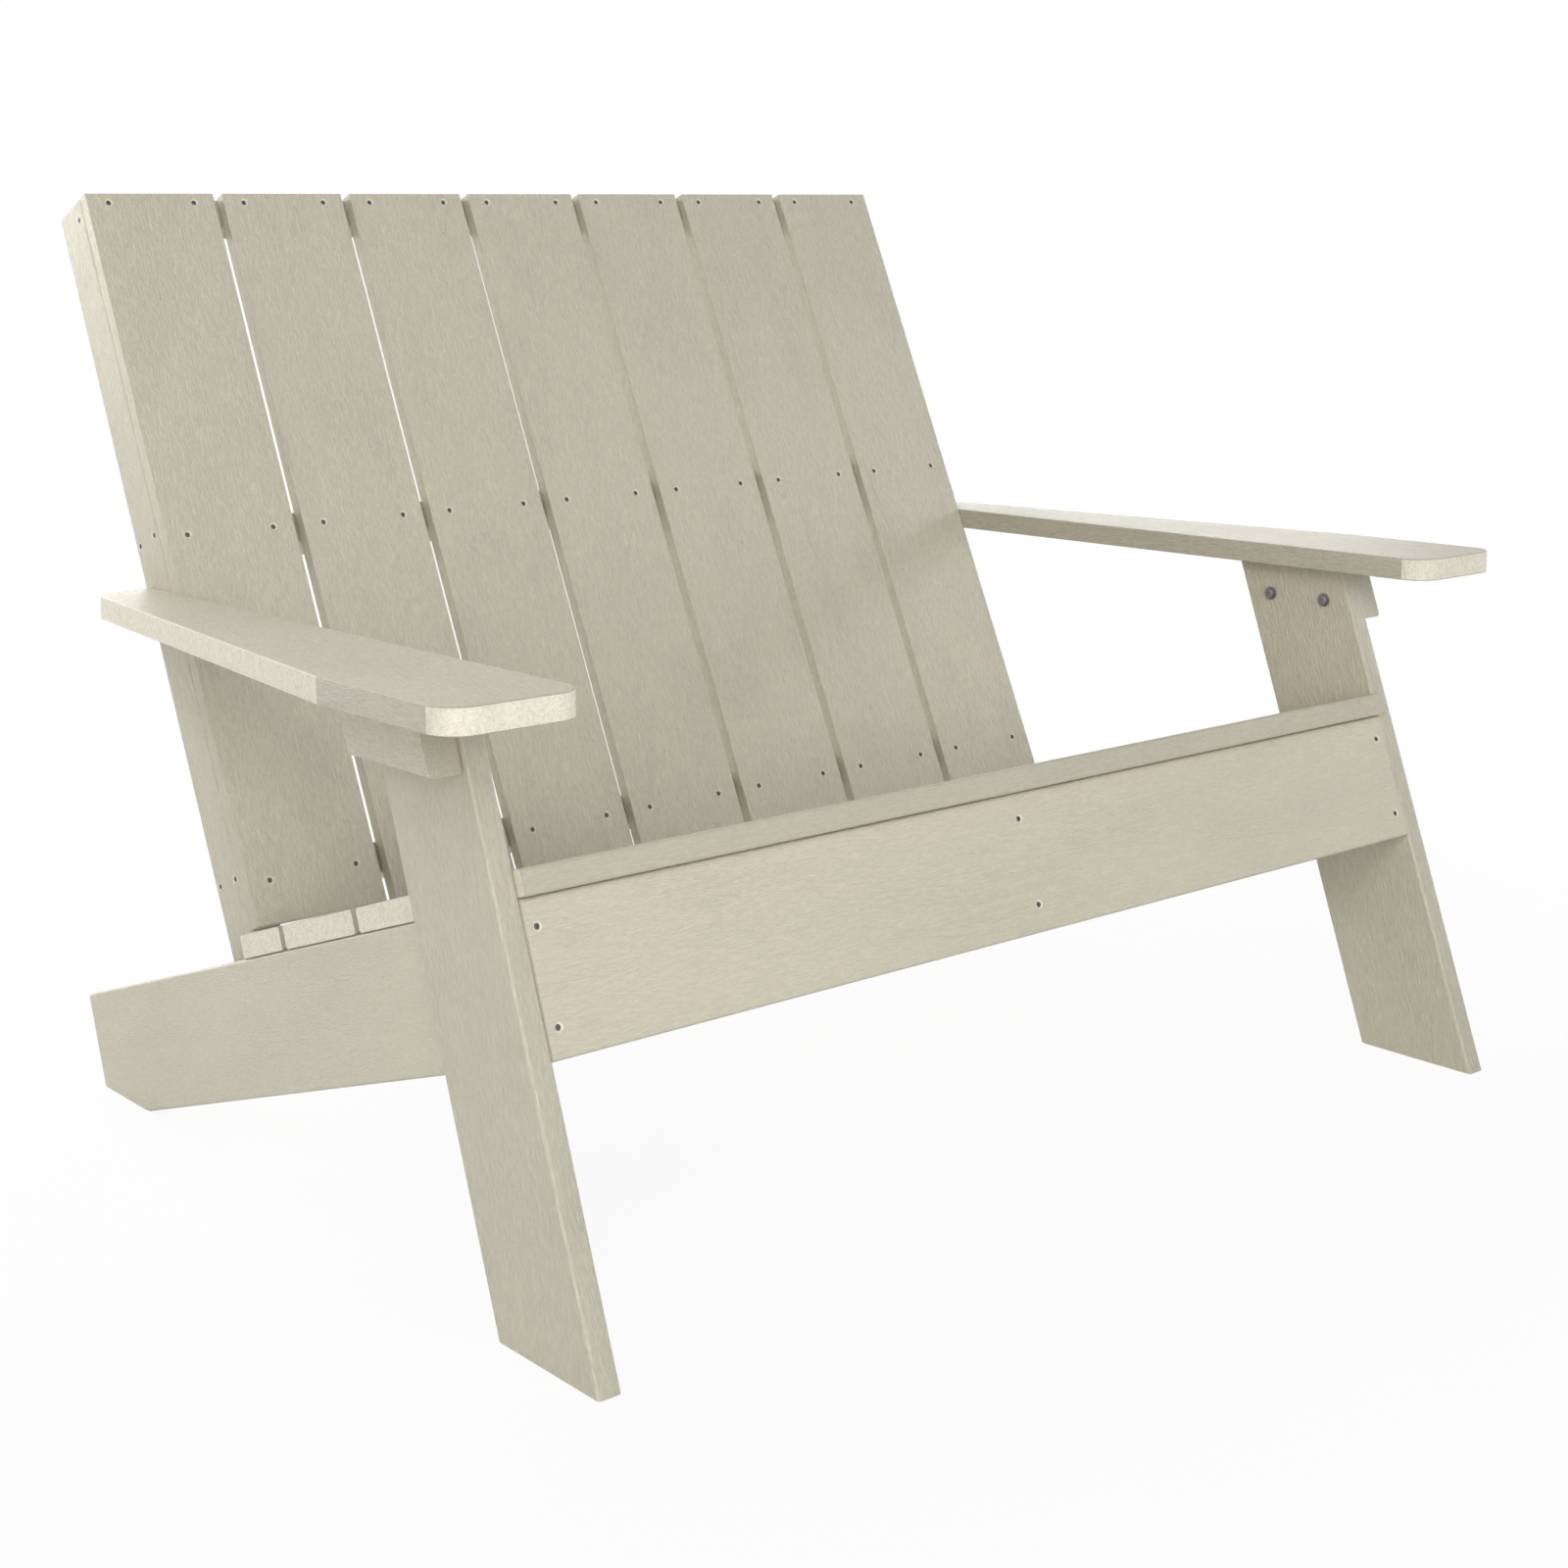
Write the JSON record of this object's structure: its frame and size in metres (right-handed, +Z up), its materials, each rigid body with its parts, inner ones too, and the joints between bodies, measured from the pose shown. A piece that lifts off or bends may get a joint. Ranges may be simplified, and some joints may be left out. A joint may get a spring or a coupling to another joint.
{
  "type": "patio loveseat",
  "caption": "Slatted patio loveseat in plastic lumber with a raked plank back, a seat sloping to the rear, broad tapered arms and slanted plank legs.",
  "frame": {"origin": "on the floor at the centre of the bounding box seen from above", "axes": "+X to the right of a viewer who faces the front, -Y to the front, +Z up"},
  "size_m": [1.2928, 0.9519, 0.91],
  "materials": {
    "lumber": "sand-coloured foamed plastic lumber, embossed grain on the faces, lighter mottled sawn ends",
    "steel": "dull grey stainless"
  },
  "bodies": {
    "root": {"back_slat_1": "lumber", "back_slat_2": "lumber", "back_slat_3": "lumber", "back_slat_4": "lumber", "back_slat_5": "lumber", "back_slat_6": "lumber", "back_slat_7": "lumber", "back_side_rail_left": "lumber", "back_side_rail_right": "lumber", "back_rail_top": "lumber", "back_rail_middle": "lumber", "back_rail_bottom": "lumber", "seat_slat_1": "lumber", "seat_slat_2": "lumber", "seat_slat_3": "lumber", "seat_slat_4": "lumber", "stringer_left": "lumber", "stringer_centre": "lumber", "stringer_right": "lumber", "front_apron": "lumber", "leg_left": "lumber", "leg_right": "lumber", "arm_bracket_left": "lumber", "arm_bracket_right": "lumber", "arm_left": "lumber", "arm_right": "lumber", "bracket_bolt_left_front": "steel", "bracket_bolt_left_rear": "steel", "bracket_bolt_right_front": "steel", "bracket_bolt_right_rear": "steel", "bracket_washer_left_front": "steel", "bracket_washer_left_rear": "steel", "bracket_washer_right_front": "steel", "bracket_washer_right_rear": "steel", "leg_bolt_left_upper": "steel", "leg_bolt_left_lower": "steel", "leg_bolt_right_upper": "steel", "leg_bolt_right_lower": "steel", "back_bolt_left_upper": "steel", "back_bolt_left_lower": "steel", "back_bolt_right_upper": "steel", "back_bolt_right_lower": "steel"}
  },
  "joints": []
}
